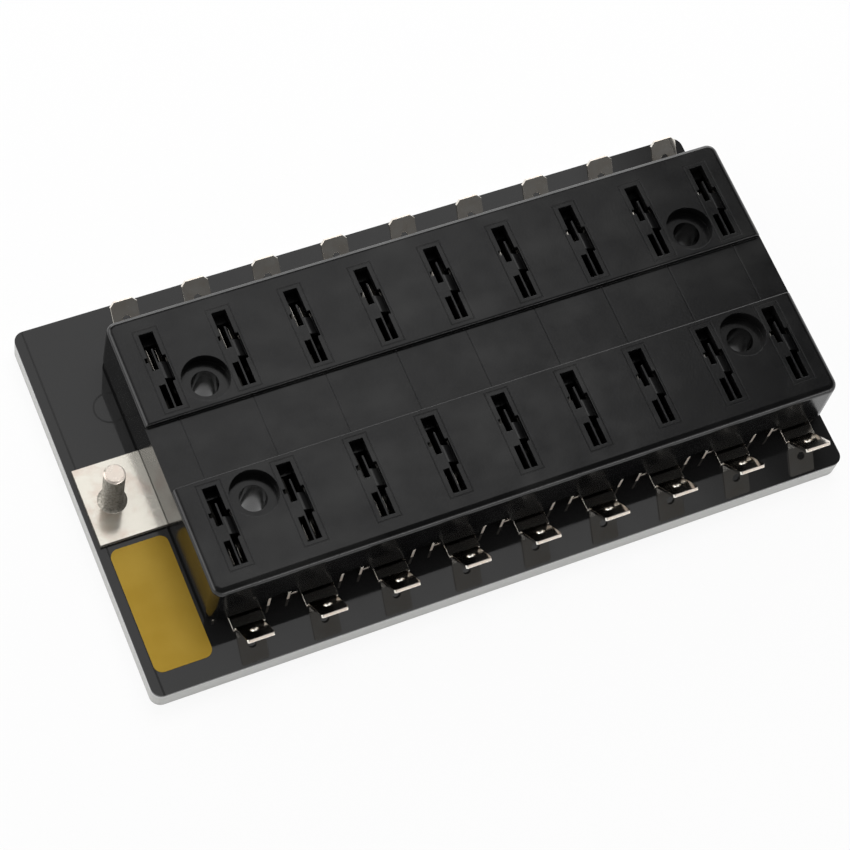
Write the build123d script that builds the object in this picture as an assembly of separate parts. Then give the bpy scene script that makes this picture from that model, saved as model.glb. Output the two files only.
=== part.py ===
from build123d import *
import os
from math import cos, radians, sin

# Fuse block for nine pairs of blade fuses. Millimetres, +Z up, +X along the rows.
# The origin is under the middle of the board. Rear is +Y, front is -Y.

# Rows of fuse ways
ways = 9
pitch = 17.0
row_offset = 19.4
start_margin = 8.2
end_margin = 7.4
apron = 16.6

# Insulating board and the black sheet that faces it
board_width = 91.2
board_thickness = 5.1
board_corner = 2.5
deck_thickness = 0.6

# Moulded housing
housing_width = 68.4
housing_height = 16.4
housing_corner = 2.6
housing_draft = 1.2
top_round = 1.5
foot_height = 2.0
foot_inset = 1.3
foot_end_inset = 0.3
top_skin = 1.8
channel_width = 15.6
channel_depth = 1.4
channel_round = 0.4

# Fuse windows in the top of the housing, in plan: x from the middle of the way
window_length = 18.9
blade_slot_right = 1.5
blade_slot_width = 1.5
relief_width = 1.5
relief_gap = 0.35
relief_long = 9.2
relief_short = 6.0
relief_open = 4.0
relief_notch_width = 0.75
relief_notch_length = 1.2
relief_notch_start = 5.8
waist_width = 0.7
waist_length = 6.6
saddle_length = 4.2
saddle_drop = 1.3

# Mounting screws and moulded stakes, both midway between two ways
screw_bore = 6.2
screw_head_bore = 11.0
screw_head_depth = 2.9
screw_offset = 14.45
stake_diameter = 4.0
stake_head_diameter = 6.4
stake_head_height = 1.8

# Output terminals: a strip on the deck with a fuse clip inside, two folded ears and a tab outside
strip_thickness = 0.8
strip_width = 7.5
tab_width = 6.35
tab_length = 9.1
tab_angle = 49.0
tab_corner = 1.0
tab_hole = 1.9
tab_hole_from_tip = 4.7
tab_bend_from_wall = 2.8
ear_reach_left = 7.2
ear_reach_right = 6.0
ear_length = 3.0
ear_height = 5.0
ear_corner = 0.8
ear_from_wall = 1.0

# Arched notches in the side walls, midway between two ways, that show the ears
notch_width = 7.0
notch_inset = 2.5
notch_round = 1.5

# Spring clips that hold the fuse blades
clip_length = 5.6
blade_spread = 9.6
clip_half_base = 1.2
clip_half_throat = 0.55
clip_throat_height = 9.4
clip_heel_height = 4.0
clip_top_from_skin = 2.4
clip_flare_right = 0.95
clip_flare_left = 1.6
clip_bend = 0.9

# Bus bar with the input plate and its stud
bar_width = 14.0
bar_thickness = 1.2
bar_end = 4.0
plate_width = 18.6
plate_inset = 1.1
plate_overlap = 1.0
bridge_width = 5.0
stud_diameter = 4.83
stud_height = 14.3
stud_inset = 6.0
stud_chamfer = 0.5
stud_shoulder_diameter = 5.8
stud_collar_diameter = 6.6
stud_collar_height = 0.35
stud_head_diameter = 9.0
stud_head_height = 2.4

# Label on the apron
label_length = 29.8
label_width = 13.2
label_thickness = 0.1
label_corner = 2.0
label_inset = 2.3
label_offset = 25.7

# Clearances between pieces that seat in each other
seat_clearance = 0.2
pocket_clearance = 0.3

# Lengths and levels that follow from the sizes above
housing_length = start_margin + (ways - 1) * pitch + end_margin
board_length = apron + housing_length
board_left = -board_length / 2
housing_left = board_left + apron
housing_middle = housing_left + housing_length / 2
first_way = housing_left + start_margin
way_xs = [first_way + n * pitch for n in range(ways)]
deck_top = board_thickness + deck_thickness
housing_top = deck_top + housing_height
bar_top = deck_top + bar_thickness
wall_y = housing_width / 2
blade_x = blade_slot_right - blade_slot_width / 2
outer_clip_y = row_offset + blade_spread / 2
inner_clip_y = row_offset - blade_spread / 2
bend_y = wall_y + tab_bend_from_wall
ear_y = wall_y - ear_from_wall - ear_length / 2
ear_width = ear_reach_left + ear_reach_right
ear_x = (ear_reach_right - ear_reach_left) / 2
ear_middles = [strip_thickness / 2 - ear_reach_left, ear_reach_right - strip_thickness / 2]
clip_top = housing_height - top_skin - clip_top_from_skin
screw_points = [(way_xs[0] + pitch / 2, screw_offset), (way_xs[-1] - pitch / 2, screw_offset),
                (way_xs[0] + pitch / 2, -screw_offset), (way_xs[-1] - pitch / 2, -screw_offset)]
middle_way = way_xs[ways // 2]
stake_points = [(middle_way - pitch / 2, screw_offset), (middle_way + pitch / 2, screw_offset),
                (middle_way - pitch / 2, -screw_offset), (middle_way + pitch / 2, -screw_offset)]
stud_x = board_left + plate_inset + stud_inset


def block(x_size, y_size, height, x, y, z):
    """A box by its plan size and height, centred at x, y and standing on z."""
    return Pos(x, y, z) * Box(x_size, y_size, height, align=(Align.CENTER, Align.CENTER, Align.MIN))


def rod(diameter, height, x, y, z):
    """An upright round rod or bore standing on z."""
    return Pos(x, y, z) * Cylinder(diameter / 2, height, align=(Align.CENTER, Align.CENTER, Align.MIN))


def rods(points, diameter, height, z):
    """Equal upright rods or bores at a list of places."""
    return [rod(diameter, height, x, y, z) for x, y in points]


def make_board():
    """Light insulating board with its screw, stake and stud holes."""
    outline = RectangleRounded(board_length, board_width, board_corner)
    board = extrude(outline, board_thickness)
    board -= rods(screw_points, screw_bore, board_thickness, 0)
    board -= rods(stake_points, stake_diameter + seat_clearance, board_thickness, 0)
    head_pocket = stake_head_diameter + seat_clearance
    board -= rods(stake_points, head_pocket, stake_head_height, 0)
    stud_pocket_floor = deck_top - stud_head_height - seat_clearance
    board -= rod(stud_head_diameter + seat_clearance, board_thickness, stud_x, 0, stud_pocket_floor)
    return board


def make_deck():
    """Thin black sheet that faces the whole board, with the same holes."""
    outline = RectangleRounded(board_length, board_width, board_corner)
    deck = Pos(0, 0, board_thickness) * extrude(outline, deck_thickness)
    deck -= rods(screw_points, screw_bore, deck_thickness, board_thickness)
    deck -= rods(stake_points, stake_diameter + seat_clearance, deck_thickness, board_thickness)
    return deck - rod(stud_head_diameter + seat_clearance, deck_thickness, stud_x, 0, board_thickness)


def fuse_window(row):
    """Plan of one fuse window, centred on its way, for the rear (1) or front (-1) row."""
    rear_end = row * row_offset + window_length / 2
    slot_left = blade_slot_right - blade_slot_width
    relief_right = slot_left - relief_gap
    relief_x = relief_right - relief_width / 2
    slot = Pos(blade_x, row * row_offset) * Rectangle(blade_slot_width, window_length)
    waist_x = blade_slot_right + waist_width / 2
    waist = Pos(waist_x, row * row_offset) * Rectangle(waist_width, waist_length)
    long_relief = Pos(relief_x, rear_end - relief_long / 2) * Rectangle(relief_width, relief_long)
    short_y = rear_end - window_length + relief_short / 2
    short_relief = Pos(relief_x, short_y) * Rectangle(relief_width, relief_short)
    notch_x = relief_right - relief_width - relief_notch_width / 2
    notch_y = rear_end - relief_notch_start - relief_notch_length / 2
    notch = Pos(notch_x, notch_y) * Rectangle(relief_notch_width, relief_notch_length)
    opening_x = (slot_left + relief_right) / 2
    opening = Pos(opening_x, rear_end - relief_open / 2) * Rectangle(relief_gap, relief_open)
    return slot + waist + long_relief + short_relief + notch + opening


def window_saddle(x, y):
    """Sloping web between the two blades of one fuse, sunk into its window."""
    left = blade_slot_right - blade_slot_width
    right = blade_slot_right + waist_width
    ramp = [(left, 0), (right, -saddle_drop), (right, -top_skin), (left, -top_skin)]
    face = Plane.XZ * make_face(Polyline(*ramp, close=True))
    return Pos(x, y, housing_top) * extrude(face, saddle_length / 2, both=True)


def clip_pocket(x, y):
    """Room inside the housing for one spring clip, up to the top skin."""
    left = blade_x - max(clip_half_base, clip_flare_left) - strip_thickness / 2 - pocket_clearance
    right = blade_x + max(clip_half_base, clip_flare_right) + strip_thickness / 2 + pocket_clearance
    height = housing_height - top_skin
    length = clip_length + 2 * pocket_clearance
    return block(right - left, length, height, x + (left + right) / 2, y, deck_top)


def wall_notch(x, row):
    """Arched notch through one side wall, down to the deck."""
    notch_height = ear_height + seat_clearance
    arch = Rectangle(notch_width, notch_height, align=(Align.CENTER, Align.MIN))
    arch = fillet(arch.vertices().group_by(Axis.Y)[-1], notch_round)
    notch = extrude(Plane.XZ * arch, notch_inset, both=True)
    return Pos(x, row * wall_y, deck_top) * notch


def make_housing():
    """Black moulded housing with its windows, channel, screw bores, pockets and stakes."""
    skirt_outline = RectangleRounded(housing_length, housing_width, housing_corner)
    skirt = extrude(skirt_outline, housing_height - foot_height, taper=housing_draft)
    top_edges = skirt.edges().group_by(Axis.Z)[-1]
    skirt = fillet(top_edges, top_round)
    foot_corner = housing_corner - foot_inset
    foot_length = housing_length - 2 * foot_end_inset
    foot_width = housing_width - 2 * foot_inset
    foot_outline = RectangleRounded(foot_length, foot_width, foot_corner)
    housing = Pos(housing_middle, 0, deck_top + foot_height) * skirt
    housing += Pos(housing_middle, 0, deck_top) * extrude(foot_outline, foot_height)
    channel_floor = housing_top - channel_depth
    housing -= block(housing_length, channel_width, channel_depth, housing_middle, 0, channel_floor)
    long_edges = housing.edges().filter_by(Axis.X).group_by(Axis.Z)[-1]
    channel_edges = long_edges.filter_by_position(Axis.Y, -channel_width, channel_width)
    housing = fillet(channel_edges, channel_round)

    windows = [Pos(x, 0) * fuse_window(row) for x in way_xs for row in (1, -1)]
    cuts = [Pos(0, 0, housing_top - 2 * top_skin) * extrude(window, 3 * top_skin) for window in windows]
    bore_height = housing_height + board_thickness
    cuts += rods(screw_points, screw_bore, bore_height, deck_top)
    cuts += rods(screw_points, screw_head_bore, screw_head_depth, housing_top - screw_head_depth)

    strip_room = strip_width + 2 * seat_clearance
    strip_height = strip_thickness + seat_clearance
    strip_start = outer_clip_y - clip_length / 2
    strip_reach = wall_y - strip_start
    bridge_reach = 2 * (inner_clip_y + clip_length / 2 + pocket_clearance)
    bridge_room = bridge_width + 2 * seat_clearance
    bridge_height = bar_thickness + strip_thickness + seat_clearance
    strip_y = strip_start + strip_reach / 2
    ear_room = ear_width + 2 * seat_clearance
    ear_space = ear_length + 2 * seat_clearance
    ear_slot = strip_thickness + 2 * seat_clearance
    ear_slot_height = ear_height + seat_clearance
    for x in way_xs:
        for row in (1, -1):
            cuts.append(block(strip_room, strip_reach, strip_height, x, row * strip_y, deck_top))
            cuts.append(block(ear_room, ear_space, strip_height, x + ear_x, row * ear_y, deck_top))
            for ear in ear_middles:
                cuts.append(block(ear_slot, ear_space, ear_slot_height, x + ear, row * ear_y, deck_top))
            cuts.append(clip_pocket(x, row * outer_clip_y))
            cuts.append(clip_pocket(x, row * inner_clip_y))
        cuts.append(block(bridge_room, bridge_reach, bridge_height, x + blade_x, 0, deck_top))
    tunnel_left = housing_left + foot_end_inset + plate_overlap
    tunnel_right = way_xs[-1] + bar_end + seat_clearance
    tunnel_x = (tunnel_left + tunnel_right) / 2
    tunnel_width = bar_width + 2 * seat_clearance
    cuts.append(block(tunnel_right - tunnel_left, tunnel_width, bridge_height, tunnel_x, 0, deck_top))
    plate_slot = foot_end_inset + plate_overlap + seat_clearance
    plate_room = plate_width + 2 * seat_clearance
    plate_height = bar_thickness + seat_clearance
    cuts.append(block(plate_slot, plate_room, plate_height, housing_left + plate_slot / 2, 0, deck_top))
    cuts += [wall_notch(x + pitch / 2, row) for x in way_xs[:-1] for row in (1, -1)]
    housing -= cuts

    housing += [window_saddle(x, row * row_offset) for x in way_xs for row in (1, -1)]
    housing += rods(stake_points, stake_diameter, deck_top, 0)
    housing += rods(stake_points, stake_head_diameter, stake_head_height, 0)
    return housing


def clip_leaf(side, flare, base):
    """One leaf of a spring clip: side is -1 or 1, base is the level of the strip's middle."""
    heel = (side * clip_half_base, clip_heel_height)
    fold = FilletPolyline((0, base), (side * clip_half_base, base), heel, radius=clip_bend)
    blade = Polyline(heel, (side * clip_half_throat, clip_throat_height), (side * flare, clip_top))
    return trace(fold + blade, strip_thickness)


def clip(base):
    """Folded spring clip with its throat at x 0 and its length along Y, centred at y 0."""
    profile = clip_leaf(1, clip_flare_right, base) + clip_leaf(-1, clip_flare_left, base)
    return extrude(Plane.XZ * profile, clip_length / 2, both=True)


def make_terminal(x, row):
    """Output terminal of one way: clip, strip along the deck, folded ears and raised tab."""
    strip_start = outer_clip_y - clip_length / 2
    strip_length = bend_y - strip_start
    strip = block(strip_width, strip_length, strip_thickness, 0, strip_start + strip_length / 2, 0)
    wings = block(ear_width, ear_length, strip_thickness, ear_x, ear_y, 0)
    ear_outline = Rectangle(ear_length, ear_height, align=(Align.CENTER, Align.MIN))
    ear_outline = chamfer(ear_outline.vertices().group_by(Axis.Y)[-1], ear_corner)
    ear = extrude(Plane.YZ * ear_outline, strip_thickness / 2, both=True)
    ears = [Pos(middle, ear_y, 0) * ear for middle in ear_middles]
    tab_outline = Rectangle(tab_width, tab_length, align=(Align.CENTER, Align.MIN))
    tab_outline = chamfer(tab_outline.vertices().group_by(Axis.Y)[-1], tab_corner)
    tab_outline -= Pos(0, tab_length - tab_hole_from_tip) * Circle(tab_hole / 2)
    tab = extrude(tab_outline, strip_thickness)
    tab = Pos(0, bend_y, 0) * Rot(tab_angle, 0, 0) * tab
    knee_reach = strip_thickness * sin(radians(tab_angle))
    knee_rise = strip_thickness * cos(radians(tab_angle))
    knee_points = [(bend_y, 0), (bend_y, strip_thickness), (bend_y - knee_reach, knee_rise)]
    knee_face = Plane.YZ * make_face(Polyline(*knee_points, close=True))
    knee = extrude(knee_face, tab_width / 2, both=True)
    terminal = strip + wings + ears + tab + knee
    terminal += Pos(blade_x, outer_clip_y, 0) * clip(strip_thickness / 2)
    if row < 0:
        terminal = mirror(terminal, Plane.XZ)
    return Pos(x, 0, deck_top) * terminal


def make_bus_clip(x):
    """Bridge welded across the bus bar, with a spring clip for each row."""
    level = bar_thickness + strip_thickness / 2
    reach = 2 * (inner_clip_y + clip_length / 2)
    bridge = block(bridge_width, reach, strip_thickness, 0, 0, bar_thickness)
    piece = bridge + [Pos(0, row * inner_clip_y, 0) * clip(level) for row in (1, -1)]
    return Pos(x + blade_x, 0, deck_top) * piece


def make_bus_bar():
    """Tinned copper bar under the channel, widened into the input plate on the apron."""
    plate_left = board_left + plate_inset
    plate_right = housing_left + foot_end_inset + plate_overlap
    plate_length = plate_right - plate_left
    bar_right = way_xs[-1] + bar_end
    bar_length = bar_right - plate_right
    plate = block(plate_length, plate_width, bar_thickness, plate_left + plate_length / 2, 0, deck_top)
    bar = plate + block(bar_length, bar_width, bar_thickness, plate_right + bar_length / 2, 0, deck_top)
    return bar - rod(stud_shoulder_diameter, bar_thickness, stud_x, 0, deck_top)


def make_stud():
    """Input stud: plain shank, swaged collar, shoulder in the plate and head under it."""
    shank = rod(stud_diameter, stud_height, stud_x, 0, bar_top)
    shank = chamfer(shank.edges().group_by(Axis.Z)[-1], stud_chamfer)
    shoulder = rod(stud_shoulder_diameter, bar_thickness, stud_x, 0, deck_top)
    collar = rod(stud_collar_diameter, stud_collar_height, stud_x, 0, bar_top)
    head = rod(stud_head_diameter, stud_head_height, stud_x, 0, deck_top - stud_head_height)
    return shank + collar + shoulder + head


def make_label():
    """Blank self-adhesive label on the front half of the apron."""
    outline = RectangleRounded(label_width, label_length, label_corner)
    x = board_left + label_inset + label_width / 2
    return Pos(x, -label_offset, deck_top) * extrude(outline, label_thickness)


def write(shape, name):
    """Write one node."""
    shape.label = name
    export_step(shape, f"parts/{name}.step")


os.makedirs("parts", exist_ok=True)
write(make_board(), "base_board")
write(make_deck(), "deck_sheet")
write(make_housing(), "housing")
write(make_bus_bar(), "bus_bar")
write(make_stud(), "input_stud")
write(make_label(), "label")
for number, way_x in enumerate(way_xs, start=1):
    write(make_bus_clip(way_x), f"bus_clip_{number}")
    write(make_terminal(way_x, 1), f"output_terminal_rear_{number}")
    write(make_terminal(way_x, -1), f"output_terminal_front_{number}")
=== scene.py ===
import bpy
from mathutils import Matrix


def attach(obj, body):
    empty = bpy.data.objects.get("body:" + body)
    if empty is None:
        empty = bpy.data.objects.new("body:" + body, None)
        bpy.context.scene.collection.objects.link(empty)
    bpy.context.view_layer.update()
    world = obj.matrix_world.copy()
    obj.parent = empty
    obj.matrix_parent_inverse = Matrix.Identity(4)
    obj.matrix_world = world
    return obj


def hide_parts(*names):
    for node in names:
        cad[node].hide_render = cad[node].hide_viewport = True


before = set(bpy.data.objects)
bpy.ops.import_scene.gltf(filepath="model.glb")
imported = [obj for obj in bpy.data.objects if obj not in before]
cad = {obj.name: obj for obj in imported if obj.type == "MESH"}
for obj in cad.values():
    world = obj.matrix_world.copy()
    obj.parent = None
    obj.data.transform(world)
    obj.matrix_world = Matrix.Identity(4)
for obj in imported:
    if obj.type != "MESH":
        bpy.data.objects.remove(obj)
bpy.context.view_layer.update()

from math import cos, pi, radians, sin

import bmesh
import bpy
from mathutils import Euler, Matrix, Vector

# The insulating board: a flat light grey sheet, sawn to size and drilled for four screws.
# Its sawn edge is the pale band round the block, with fine layers along it.

MM = 0.001
board_grey = (0.60, 0.60, 0.585)
board_grey_dark = (0.50, 0.50, 0.485)
layer_size = 1.2 * MM
layer_stretch = (0.05, 0.05, 4.0)
sawn_grain = 0.35 * MM
sawn_depth = 0.03 * MM


def new_finish(name, colour, roughness, metallic=0.0):
    """A material with one principled shader, and its shader and node tree."""
    finish = bpy.data.materials.new(name)
    finish.use_nodes = True
    tree = finish.node_tree
    shader = tree.nodes["Principled BSDF"]
    shader.inputs["Base Color"].default_value = (*colour, 1.0)
    shader.inputs["Roughness"].default_value = roughness
    shader.inputs["Metallic"].default_value = metallic
    return finish, shader, tree


def grain(tree, size, stretch=(1.0, 1.0, 1.0), detail=3.0):
    """Noise on object coordinates with grains of about one size in metres, squeezed by axis."""
    place = tree.nodes.new("ShaderNodeTexCoord")
    mapping = tree.nodes.new("ShaderNodeMapping")
    mapping.inputs["Scale"].default_value = [axis_stretch / size for axis_stretch in stretch]
    noise = tree.nodes.new("ShaderNodeTexNoise")
    noise.inputs["Scale"].default_value = 1.0
    noise.inputs["Detail"].default_value = detail
    tree.links.new(place.outputs["Object"], mapping.inputs["Vector"])
    tree.links.new(mapping.outputs["Vector"], noise.inputs["Vector"])
    return noise.outputs["Fac"]


def spread(tree, source, low, high, start=0.3, end=0.7):
    """A value that goes from low to high while its source goes from start to end."""
    scale = tree.nodes.new("ShaderNodeMapRange")
    scale.inputs["From Min"].default_value = start
    scale.inputs["From Max"].default_value = end
    scale.inputs["To Min"].default_value = low
    scale.inputs["To Max"].default_value = high
    tree.links.new(source, scale.inputs["Value"])
    return scale.outputs["Result"]


def tint(tree, source, shader, first, second):
    """Base colour that goes from the first colour to the second as its source goes from 0 to 1."""
    mix = tree.nodes.new("ShaderNodeMix")
    mix.data_type = "RGBA"
    mix.inputs["A"].default_value = (*first, 1.0)
    mix.inputs["B"].default_value = (*second, 1.0)
    tree.links.new(source, mix.inputs["Factor"])
    tree.links.new(mix.outputs["Result"], shader.inputs["Base Color"])


def relief(tree, source, shader, height, strength):
    """Fine unevenness of the surface, by its height in metres."""
    bump = tree.nodes.new("ShaderNodeBump")
    bump.inputs["Distance"].default_value = height
    bump.inputs["Strength"].default_value = strength
    tree.links.new(source, bump.inputs["Height"])
    tree.links.new(bump.outputs["Normal"], shader.inputs["Normal"])
    return bump


def dress(node, finish):
    """Gives a CAD piece its finish."""
    piece = cad[node]
    piece.data.materials.clear()
    piece.data.materials.append(finish)


board_finish, shader, tree = new_finish("grey board", board_grey, roughness=0.6)
layers = spread(tree, grain(tree, layer_size, stretch=layer_stretch), 0.0, 1.0)
tint(tree, layers, shader, board_grey, board_grey_dark)
relief(tree, grain(tree, sawn_grain), shader, sawn_depth, strength=0.5)
dress("base_board", board_finish)

# The facing: a thin sheet of polished black plastic, laid on the whole board and cut with it.
# It mirrors what stands on it. A fine line runs along its left edge, and a ring is scribed on the apron
# behind the plate.

facing_black = (0.013, 0.013, 0.0132)
facing_line = (0.003, 0.003, 0.003)
facing_roughness = (0.03, 0.09)
scribed_roughness = 0.2
haze_size = 14 * MM
ripple_size = 9 * MM
ripple_depth = 0.01 * MM
ring_middle = (-69.6 * MM, 21.6 * MM)
ring_radius = 3.6 * MM
edge_line = -81.8 * MM
scribed_half_width = 0.3 * MM


def maths(tree, operation, first, second=0.0):
    """One Math node whose inputs are sockets or numbers."""
    node = tree.nodes.new("ShaderNodeMath")
    node.operation = operation
    for socket, value in zip(node.inputs, (first, second)):
        if isinstance(value, (int, float)):
            socket.default_value = value
        else:
            tree.links.new(value, socket)
    return node.outputs["Value"]


def plan_axes(tree):
    """The object coordinates along the rows and across them."""
    place = tree.nodes.new("ShaderNodeTexCoord")
    parts = tree.nodes.new("ShaderNodeSeparateXYZ")
    tree.links.new(place.outputs["Object"], parts.inputs["Vector"])
    return parts.outputs["X"], parts.outputs["Y"]


def near(tree, value, level, half_width):
    """1 where a value is near a level, falling to 0 at half the line's width from it."""
    away = maths(tree, "ABSOLUTE", maths(tree, "SUBTRACT", value, level))
    return spread(tree, away, 1.0, 0.0, start=half_width / 2, end=half_width)


facing_finish, shader, tree = new_finish("polished black sheet", facing_black, roughness=0.05)
along, across = plan_axes(tree)
ring_x = maths(tree, "SUBTRACT", along, ring_middle[0])
ring_y = maths(tree, "SUBTRACT", across, ring_middle[1])
ring_reach = maths(tree, "SQRT", maths(tree, "ADD", maths(tree, "POWER", ring_x, 2.0),
                                       maths(tree, "POWER", ring_y, 2.0)))
ring = near(tree, ring_reach, ring_radius, scribed_half_width)
marks = maths(tree, "MAXIMUM", ring, near(tree, along, edge_line, scribed_half_width))
tint(tree, marks, shader, facing_black, facing_line)
haze = spread(tree, grain(tree, haze_size), *facing_roughness)
tree.links.new(maths(tree, "ADD", haze, maths(tree, "MULTIPLY", marks, scribed_roughness)),
               shader.inputs["Roughness"])
relief(tree, grain(tree, ripple_size, detail=1.0), shader, ripple_depth, strength=0.3)
dress("deck_sheet", facing_finish)

# The bus bar: a tinned copper strip under the housing, wider where it comes out as the input plate.
# Tin plate has a soft bright lustre, and handling has left it faintly stained.

tin = (0.86, 0.82, 0.73)
tin_stained = (0.74, 0.60, 0.52)
tin_lustre = 0.74
tin_roughness = (0.11, 0.18)
stain_size = 5 * MM
stain_start, stain_end = 0.5, 0.78
rolled_size = 1.5 * MM
rolled_stretch = (0.5, 2.0, 1.0)
bar_finish, shader, tree = new_finish("tinned bar", tin, roughness=0.12, metallic=tin_lustre)
stains = spread(tree, grain(tree, stain_size, detail=5.0), 0.0, 1.0, start=stain_start, end=stain_end)
tint(tree, stains, shader, tin, tin_stained)
rolled = grain(tree, rolled_size, stretch=rolled_stretch)
tree.links.new(spread(tree, rolled, *tin_roughness), shader.inputs["Roughness"])
dress("bus_bar", bar_finish)

# The bus clips: folded from thin spring brass and tinned, one across the bar for every pair of ways.
# They lie deep in the housing, and their tin is painted a dark grey as painted shade, so they show dark
# but for their cut edges.

WAYS = 9
# The clips' grey is painted shade: their tin colour is darkened for the shade deep in the housing.
clip_painted_shade_grey = (0.30, 0.29, 0.27)
clip_painted_shade_grey_dark = (0.20, 0.19, 0.175)
stamped_size = 2.5 * MM
stamped_roughness = (0.07, 0.14)


def stamped_metal(name, colour, other_colour):
    """A smooth tinned sheet whose colour and gloss change a little from place to place."""
    finish, shader, tree = new_finish(name, colour, roughness=0.1, metallic=1.0)
    stamped = grain(tree, stamped_size)
    tint(tree, spread(tree, stamped, 0.0, 1.0), shader, colour, other_colour)
    tree.links.new(spread(tree, stamped, *stamped_roughness), shader.inputs["Roughness"])
    return finish


# The clips take the darkened tin as painted shade, not the terminals' bright tin.
clip_painted_shade_finish = stamped_metal("spring brass with painted shade", clip_painted_shade_grey, clip_painted_shade_grey_dark)
for way in range(1, WAYS + 1):
    dress(f"bus_clip_{way}", clip_painted_shade_finish)

# The output terminals: stamped strips with a folded clip inside the housing and a raised tab outside it.
# Stamping leaves their edges slightly rounded and the ends of their tabs torn. Two ears on each strip
# are folded up, and stand in the housing's notches.

PITCH = 17.0 * MM
FIRST_WAY = -59.3 * MM
clip_tin = (0.86, 0.83, 0.77)
clip_tin_warm = (0.80, 0.74, 0.66)
sheared_tin = (0.86, 0.80, 0.73)
sheared_tin_warm = (0.80, 0.66, 0.55)
sheared_lustre = 0.35
torn_size = 0.7 * MM
torn_depth = 0.03 * MM
ear_inner_left = -6.4 * MM
ear_inner_right = 5.2 * MM
ear_face = 33.2 * MM
ear_growth = 0.8 * MM
deck_top = 5.7 * MM
bend = 37.0 * MM
tab_rise = radians(49.0)
tab_half_width = 3.175 * MM
tab_length = 9.1 * MM
drawn_corner = 1.0 * MM
true_corner = 0.35 * MM
stamped_edge = 0.1 * MM
sheared_from = 30.0 * MM
sheared_widths = (0.3 * MM, 0.8 * MM)
squarely = 0.9
roughly = 0.5
merge_distance = 0.001 * MM
cut_tolerance = 0.0001 * MM
tolerance = 0.05 * MM
clip_finish = stamped_metal("tinned spring brass", clip_tin, clip_tin_warm)
sheared_finish, shader, tree = new_finish("sheared edges", sheared_tin, roughness=0.5,
                                          metallic=sheared_lustre)
torn = grain(tree, torn_size)
tint(tree, spread(tree, torn, 0.0, 1.0), shader, sheared_tin, sheared_tin_warm)
relief(tree, torn, shader, torn_depth, strength=0.5)


def merged_copy(node):
    """A copy of a CAD piece's mesh with its loose triangles merged."""
    shape = bmesh.new()
    shape.from_mesh(cad[node].data)
    bmesh.ops.remove_doubles(shape, verts=shape.verts[:], dist=merge_distance)
    return shape


def everything(shape):
    """All vertices, edges and faces of a bmesh, for a cut."""
    return shape.verts[:] + shape.edges[:] + shape.faces[:]


def grow_ears(shape, way_x, row, sides):
    """Brings the ears' front faces nearly out to the wall's face, on the sides that have a notch."""
    for inner_edge in (ear_inner_left, ear_inner_right):
        bmesh.ops.bisect_plane(shape, geom=everything(shape), dist=cut_tolerance,
                               plane_co=(way_x + inner_edge, 0.0, 0.0), plane_no=(1.0, 0.0, 0.0))
    fronts = []
    for face in shape.faces:
        middle = face.calc_center_median()
        on_front = abs(abs(middle.y) - ear_face) < tolerance and face.normal.y * row > squarely
        sideways = middle.x - way_x
        side = (sideways > ear_inner_right) - (sideways < ear_inner_left)
        if on_front and side in sides:
            fronts.append(face)
    grown = bmesh.ops.extrude_discrete_faces(shape, faces=fronts)
    corners = {corner for face in grown["faces"] for corner in face.verts}
    bmesh.ops.translate(shape, verts=list(corners), vec=(0.0, row * ear_growth, 0.0))


def square_tip(shape, way_x, row, along_tab):
    """Brings the tab's corners out, for a squarer tip than the plain solid's."""
    start = Vector((way_x, row * bend, deck_top))
    outwards = drawn_corner - true_corner
    for corner in shape.verts:
        reach = (corner.co - start).dot(along_tab)
        sideways = corner.co.x - way_x
        at_tip = abs(reach - tab_length) < tolerance
        at_shoulder = abs(reach - tab_length + drawn_corner) < tolerance
        if at_tip:
            corner.co.x += outwards if sideways > 0 else -outwards
        elif at_shoulder and abs(sideways) > tab_half_width - tolerance:
            corner.co += outwards * along_tab


def mark_sheared(shape, row, along_tab):
    """Gives the second finish to the narrow end faces, where the stamping tool tore the metal."""
    for face in shape.faces:
        width = 2 * face.calc_area() / face.calc_perimeter()
        is_end = face.normal.y * row > roughly and face.normal.dot(along_tab) > roughly
        is_outside = abs(face.calc_center_median().y) > sheared_from
        if is_end and is_outside and sheared_widths[0] < width < sheared_widths[1]:
            face.material_index = 1


def standing(name, shape, finishes, node):
    """A finished mesh that stands for one CAD piece, with its finishes in the order of their numbers."""
    mesh = bpy.data.meshes.new(name)
    shape.to_mesh(mesh)
    shape.free()
    for finish in finishes:
        mesh.materials.append(finish)
    piece = bpy.data.objects.new(name, mesh)
    bpy.context.scene.collection.objects.link(piece)
    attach(piece, "root")
    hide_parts(node)
    return piece


def soften(piece, width):
    """Rounds a piece's sharp edges a little, and keeps its flat faces flat."""
    piece.data.shade_smooth()
    rounding = piece.modifiers.new("rounding", "BEVEL")
    rounding.width = width
    rounding.segments = 3
    rounding.limit_method = "ANGLE"
    rounding.angle_limit = radians(35.0)
    rounding.use_clamp_overlap = False
    rounding.material = 0
    evening = piece.modifiers.new("evening", "WEIGHTED_NORMAL")
    evening.weight = 100


for way in range(1, WAYS + 1):
    way_x = FIRST_WAY + (way - 1) * PITCH
    notched = [side for side in (-1, 1) if 1 <= way + side <= WAYS]
    for row_name, row in (("rear", 1), ("front", -1)):
        node = f"output_terminal_{row_name}_{way}"
        along_tab = Vector((0.0, row * cos(tab_rise), sin(tab_rise)))
        terminal = merged_copy(node)
        bmesh.ops.dissolve_limit(terminal, angle_limit=radians(1.0), verts=terminal.verts[:],
                                 edges=terminal.edges[:])
        grow_ears(terminal, way_x, row, notched)
        if row_name == "front":
            square_tip(terminal, way_x, row, along_tab)
        mark_sheared(terminal, row, along_tab)
        piece = standing(f"terminal_{row_name}_{way}", terminal, [clip_finish, sheared_finish], node)
        soften(piece, stamped_edge)

# The input stud: a zinc-plated steel screw pressed up through the plate, for the supply cable's lug.
# A rolled thread runs the whole shank, over a plain collar, and its top is chamfered.

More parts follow.
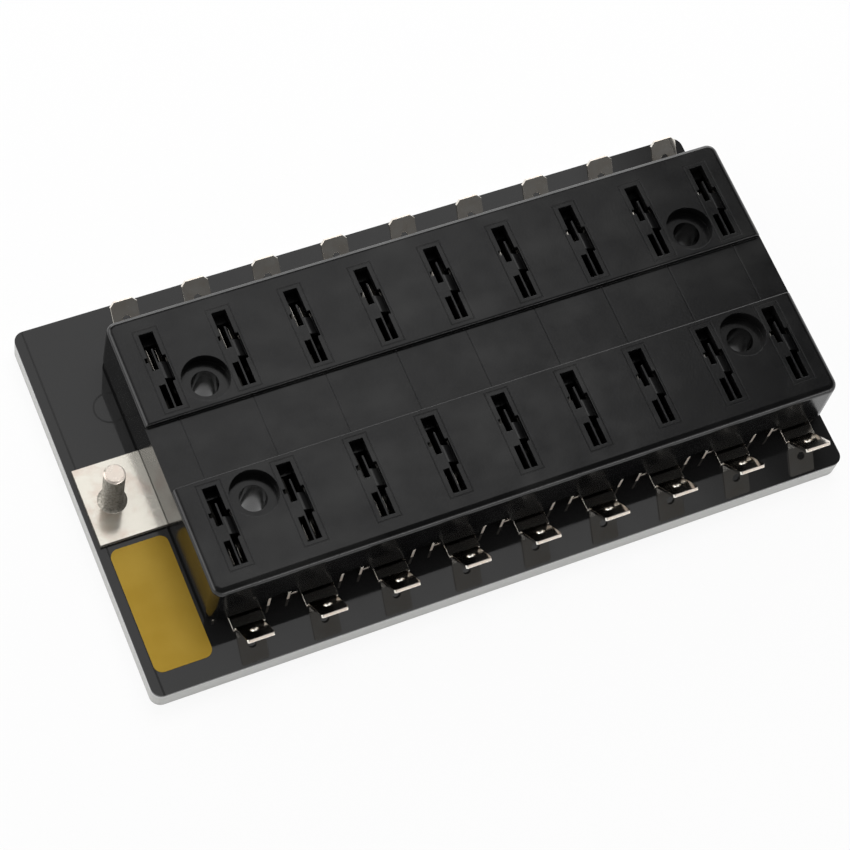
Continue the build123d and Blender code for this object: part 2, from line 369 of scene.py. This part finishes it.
stud_axis = Vector((-77.0 * MM, 0.0, 0.0))
stud_radius = 2.415 * MM
stud_top = 21.2 * MM
stud_chamfer = 0.5 * MM
thread_start = 7.0 * MM
thread_pitch = 0.794 * MM
thread_root = 1.995 * MM
thread_flank = ((thread_root, 0.0), (thread_root, 0.12), (stud_radius, 0.44), (stud_radius, 0.68))
thread_steps = 32
spare_turns = 2
# The thread's zinc is painted darker than the stud's end, as painted shade on the flanks. Its grain
# between two shades is partly plating tone and partly painted shade of the fine thread.
thread_painted_shade_zinc = (0.46, 0.425, 0.365)
thread_deep_painted_shade = (0.17, 0.16, 0.135)
thread_roughness = (0.26, 0.45)
plated_size = 0.5 * MM
plated_depth = 0.02 * MM
# The stud's end is painted a lighter, paler zinc than the thread: painted light, where the top catches
# the lamps.
stud_end_painted_light = (0.76, 0.66, 0.58)
stud_end_painted_light_pale = (0.80, 0.73, 0.65)
turned_roughness = (0.2, 0.3)
turned_size = 1.5 * MM
zinc_lustre = 0.5
thread_painted_shade_finish, shader, tree = new_finish("thread zinc with painted shade", thread_painted_shade_zinc, roughness=0.35,
                                         metallic=zinc_lustre)
plated = grain(tree, plated_size)
tint(tree, spread(tree, plated, 0.0, 1.0), shader, thread_painted_shade_zinc, thread_deep_painted_shade)
tree.links.new(spread(tree, plated, *thread_roughness), shader.inputs["Roughness"])
relief(tree, plated, shader, plated_depth, strength=0.5)
end_painted_light_finish, shader, tree = new_finish("stud end with painted light", stud_end_painted_light, roughness=0.25,
                                      metallic=zinc_lustre)
turned = grain(tree, turned_size)
tint(tree, spread(tree, turned, 0.0, 1.0), shader, stud_end_painted_light, stud_end_painted_light_pale)
tree.links.new(spread(tree, turned, *turned_roughness), shader.inputs["Roughness"])


def cut_level(shape, level, keep_above):
    """Cuts a mesh at a height, keeps one side and closes the cut."""
    side = -1.0 if keep_above else 1.0
    cut = bmesh.ops.bisect_plane(shape, geom=everything(shape), dist=cut_tolerance,
                                 plane_co=(0.0, 0.0, level), plane_no=(0.0, 0.0, side), clear_outer=True)
    rim = [item for item in cut["geom_cut"] if isinstance(item, bmesh.types.BMEdge)]
    bmesh.ops.holes_fill(shape, edges=rim, sides=0)


def threaded_shank():
    """The shank above the collar: a flank line spun into a helix, cut level and chamfered at the top."""
    shank = bmesh.new()
    turns = round((stud_top - thread_start) / thread_pitch) + spare_turns + 2
    line = []
    for turn in range(turns):
        level = thread_start + (turn - spare_turns) * thread_pitch
        for radius, rise in thread_flank:
            line.append(shank.verts.new((radius, 0.0, level + rise * thread_pitch)))
    for lower, upper in zip(line, line[1:]):
        shank.edges.new((lower, upper))
    bmesh.ops.spin(shank, geom=shank.verts[:] + shank.edges[:], cent=(0.0, 0.0, 0.0),
                   axis=(0.0, 0.0, 1.0), dvec=(0.0, 0.0, thread_pitch / thread_steps), angle=2 * pi,
                   steps=thread_steps)
    bmesh.ops.remove_doubles(shank, verts=shank.verts[:], dist=merge_distance)
    cut_level(shank, thread_start, keep_above=True)
    cut_level(shank, stud_top, keep_above=False)
    for corner in shank.verts:
        limit = stud_radius - max(0.0, corner.co.z - (stud_top - stud_chamfer))
        reach = corner.co.xy.length
        if reach > limit:
            corner.co.xy *= limit / reach
    bmesh.ops.recalc_face_normals(shank, faces=shank.faces[:])
    bmesh.ops.translate(shank, verts=shank.verts[:], vec=stud_axis)
    return shank


foot = merged_copy("input_stud")
cut_level(foot, thread_start, keep_above=False)
foot_mesh = bpy.data.meshes.new("stud_foot")
foot.to_mesh(foot_mesh)
foot.free()
stud = threaded_shank()
stud.from_mesh(foot_mesh)
bpy.data.meshes.remove(foot_mesh)
# The chamfered end takes the painted light colour, the thread the painted shade colour, and the collar
# the bar's tin.
for face in stud.faces:
    middle = face.calc_center_median()
    if middle.z > stud_top - stud_chamfer:
        face.material_index = 1
    elif middle.z < thread_start:
        face.material_index = 2
standing("threaded_stud", stud, [thread_painted_shade_finish, end_painted_light_finish, bar_finish], "input_stud")

# The housing: one glossy black plastic moulding, staked to the board, with a slightly uneven skin.
# Fuses drop into its stepped windows, each in the faint outline of its mould insert, and four screws
# go down through it. Faint joint lines cross its channel.

housing_black = (0.0045, 0.0045, 0.0047)
housing_black_pale = (0.012, 0.012, 0.0118)
housing_roughness = (0.13, 0.22)
groove_roughness = 0.15
moulding_ior = 1.45
smear_size = 16 * MM
smear_stretch = (1.0, 1.6, 1.0)
smear_start, smear_end = 0.45, 0.7
flow_size = 6 * MM
skin_size = 0.5 * MM
skin_depth = 0.012 * MM
edge_round = 0.12 * MM
channel_half = 7.8 * MM
joint_half_width = 0.25 * MM
row_offset = 19.4 * MM
insert_middle = -0.15 * MM
insert_half_width = 2.75 * MM
insert_half_length = 10.35 * MM
insert_half_line = 0.22 * MM


def channel_joints(tree, along, across):
    """1 on the joint lines across the channel, one at the middle of every way."""
    from_way = maths(tree, "PINGPONG", maths(tree, "SUBTRACT", along, FIRST_WAY), PITCH / 2)
    line = spread(tree, from_way, 1.0, 0.0, start=0.0, end=joint_half_width)
    in_channel = maths(tree, "LESS_THAN", maths(tree, "ABSOLUTE", across), channel_half)
    return maths(tree, "MULTIPLY", line, in_channel)


def insert_outlines(tree, along, across):
    """1 on the outline of each mould insert, a rectangle round every window."""
    first_edge = FIRST_WAY + insert_middle - PITCH / 2
    in_pitch = maths(tree, "FLOORED_MODULO", maths(tree, "SUBTRACT", along, first_edge), PITCH)
    from_middle = maths(tree, "ABSOLUTE", maths(tree, "SUBTRACT", in_pitch, PITCH / 2))
    from_axis = maths(tree, "ABSOLUTE", across)
    from_row = maths(tree, "ABSOLUTE", maths(tree, "SUBTRACT", from_axis, row_offset))
    outside = maths(tree, "MAXIMUM", maths(tree, "SUBTRACT", from_middle, insert_half_width),
                    maths(tree, "SUBTRACT", from_row, insert_half_length))
    return near(tree, outside, 0.0, insert_half_line)


housing_finish, shader, tree = new_finish("black moulding", housing_black, roughness=0.16)
shader.inputs["IOR"].default_value = moulding_ior
smears = spread(tree, grain(tree, smear_size, stretch=smear_stretch, detail=5.0), 0.0, 1.0,
                start=smear_start, end=smear_end)
tint(tree, smears, shader, housing_black, housing_black_pale)
along, across = plan_axes(tree)
grooves = maths(tree, "ADD", channel_joints(tree, along, across), insert_outlines(tree, along, across))
flow = spread(tree, grain(tree, flow_size), *housing_roughness)
tree.links.new(maths(tree, "ADD", flow, maths(tree, "MULTIPLY", grooves, groove_roughness)),
               shader.inputs["Roughness"])
skin = maths(tree, "SUBTRACT", grain(tree, skin_size), grooves)
bump = relief(tree, skin, shader, skin_depth, strength=0.6)
rounded = tree.nodes.new("ShaderNodeBevel")
rounded.inputs["Radius"].default_value = edge_round
tree.links.new(rounded.outputs["Normal"], bump.inputs["Normal"])
dress("housing", housing_finish)

# The label: a blank film of golden yellow with rounded corners and a matt face.
# It is die cut and stuck flat on the apron, in front of the plate.

label_gold = (0.35, 0.215, 0.015)
label_gold_pale = (0.40, 0.255, 0.028)
film_ior = 1.35
fade_size = 9 * MM
film_grain = 0.6 * MM
film_depth = 0.01 * MM
label_finish, shader, tree = new_finish("golden label film", label_gold, roughness=0.5)
shader.inputs["IOR"].default_value = film_ior
tint(tree, spread(tree, grain(tree, fade_size), 0.0, 1.0), shader, label_gold, label_gold_pale)
relief(tree, grain(tree, film_grain), shader, film_depth, strength=0.4)
dress("label", label_finish)

# The floor: a plain white sheet that the block stands on.
# The camera, gloss and glass see it white, with the block's soft shadow left on it.

floor_size = 3.0
floor_white = (0.85, 0.85, 0.85)
floor_glow = 0.9


def ray_kinds(tree):
    """Sockets that are 1 for camera, glossy and transmission rays."""
    path = tree.nodes.new("ShaderNodeLightPath")
    return [path.outputs[f"Is {kind} Ray"] for kind in ("Camera", "Glossy", "Transmission")]


floor_mesh = bpy.data.meshes.new("floor")
sheet = bmesh.new()
bmesh.ops.create_grid(sheet, x_segments=1, y_segments=1, size=floor_size / 2)
sheet.to_mesh(floor_mesh)
sheet.free()
floor = bpy.data.objects.new("floor", floor_mesh)
bpy.context.scene.collection.objects.link(floor)
floor_finish, shader, tree = new_finish("white floor", floor_white, roughness=0.8)
glow = tree.nodes.new("ShaderNodeEmission")
seen, mirrored, through = ray_kinds(tree)
shown = maths(tree, "MAXIMUM", maths(tree, "MAXIMUM", seen, mirrored), through)
blend = tree.nodes.new("ShaderNodeMixShader")
tree.links.new(maths(tree, "MULTIPLY", shown, floor_glow), blend.inputs["Fac"])
tree.links.new(shader.outputs["BSDF"], blend.inputs[1])
tree.links.new(glow.outputs["Emission"], blend.inputs[2])
tree.links.new(blend.outputs["Shader"], tree.nodes["Material Output"].inputs["Surface"])
floor_mesh.materials.append(floor_finish)

# The studio: a white backdrop all round, and a big soft lamp in a dim ceiling, as gloss and metal
# show them. Soft lamps light the block from above, and from low in front, at the left and behind.

surround_fill = 0.4
ceiling_dim = 0.03
softbox_strength = 1.0
softbox_sides = (("X", -0.80, -0.10), ("X", 0.405, 0.365), ("Y", 0.235, 0.275), ("Y", 0.65, 0.55))
backdrop_top, backdrop_full = 0.52, 0.30
lamps = {
    "top": {"place": (0.18, 0.36, 0.80), "size": (0.6, 0.6), "power": 4.6, "mirrored": False},
    "front": {"place": (0.26, -0.84, 0.12), "size": (1.0, 0.08), "power": 1.45, "mirrored": True},
    "left": {"place": (-0.78, 0.31, 0.31), "size": (1.0, 0.50), "power": 2.9, "mirrored": True},
    "back": {"place": (0.24, 0.80, 0.22), "size": (1.2, 0.40), "power": 3.3, "mirrored": True},
}
world = bpy.data.worlds.new("studio")
world.use_nodes = True
tree = world.node_tree
surround = tree.nodes["Background"]
surround.inputs["Color"].default_value = (1.0, 1.0, 1.0, 1.0)
way_out = tree.nodes.new("ShaderNodeTexCoord")
heading = tree.nodes.new("ShaderNodeSeparateXYZ")
tree.links.new(way_out.outputs["Generated"], heading.inputs["Vector"])
softbox = softbox_strength
for axis, dark, lit in softbox_sides:
    side = spread(tree, heading.outputs[axis], 0.0, 1.0, start=dark, end=lit)
    softbox = maths(tree, "MULTIPLY", side, softbox)
backdrop = spread(tree, heading.outputs["Z"], ceiling_dim, 1.0, start=backdrop_top, end=backdrop_full)
studio_view = maths(tree, "MAXIMUM", softbox, backdrop)
seen, mirrored, through = ray_kinds(tree)
white = maths(tree, "MAXIMUM", seen, through)
lighting = maths(tree, "SUBTRACT", 1.0, maths(tree, "MAXIMUM", white, mirrored))
strength = maths(tree, "ADD", maths(tree, "MULTIPLY", mirrored, studio_view),
                 maths(tree, "MULTIPLY", lighting, surround_fill))
tree.links.new(maths(tree, "MAXIMUM", white, strength), surround.inputs["Strength"])
bpy.context.scene.world = world

for name, lamp in lamps.items():
    light = bpy.data.lights.new(name, "AREA")
    light.shape = "RECTANGLE"
    light.size, light.size_y = lamp["size"]
    light.energy = lamp["power"]
    holder = bpy.data.objects.new(name, light)
    holder.location = lamp["place"]
    holder.rotation_euler = (-Vector(lamp["place"])).to_track_quat("-Z", "Y").to_euler()
    holder.visible_glossy = lamp["mirrored"]
    bpy.context.scene.collection.objects.link(holder)

# The camera: it looks steeply down over the front left corner, and is turned a little about its own view.
# Its place and lens are fitted to the block's corners as the photograph shows them.

photo_azimuth = radians(39.88)
photo_elevation = radians(63.30)
photo_tilt = radians(18.82)
photo_distance = 0.58466
photo_target = Vector((-0.00706, -0.00855, 0.014))
photo_lens = 111.71
sensor_width = 36.0
nearest = 0.01
view_direction = Vector((sin(photo_azimuth) * cos(photo_elevation),
                         cos(photo_azimuth) * cos(photo_elevation),
                         -sin(photo_elevation)))
upright = Euler((pi / 2 - photo_elevation, 0.0, -photo_azimuth)).to_matrix()
tilted = upright @ Matrix.Rotation(photo_tilt, 3, "Z")
camera = bpy.data.objects.new("camera", bpy.data.cameras.new("camera"))
camera.data.lens = photo_lens
camera.data.sensor_width = sensor_width
camera.data.clip_start = nearest
camera.matrix_world = Matrix.Translation(photo_target - photo_distance * view_direction) @ tilted.to_4x4()
bpy.context.scene.collection.objects.link(camera)
bpy.context.scene.camera = camera
bpy.context.scene.view_settings.view_transform = "Standard"
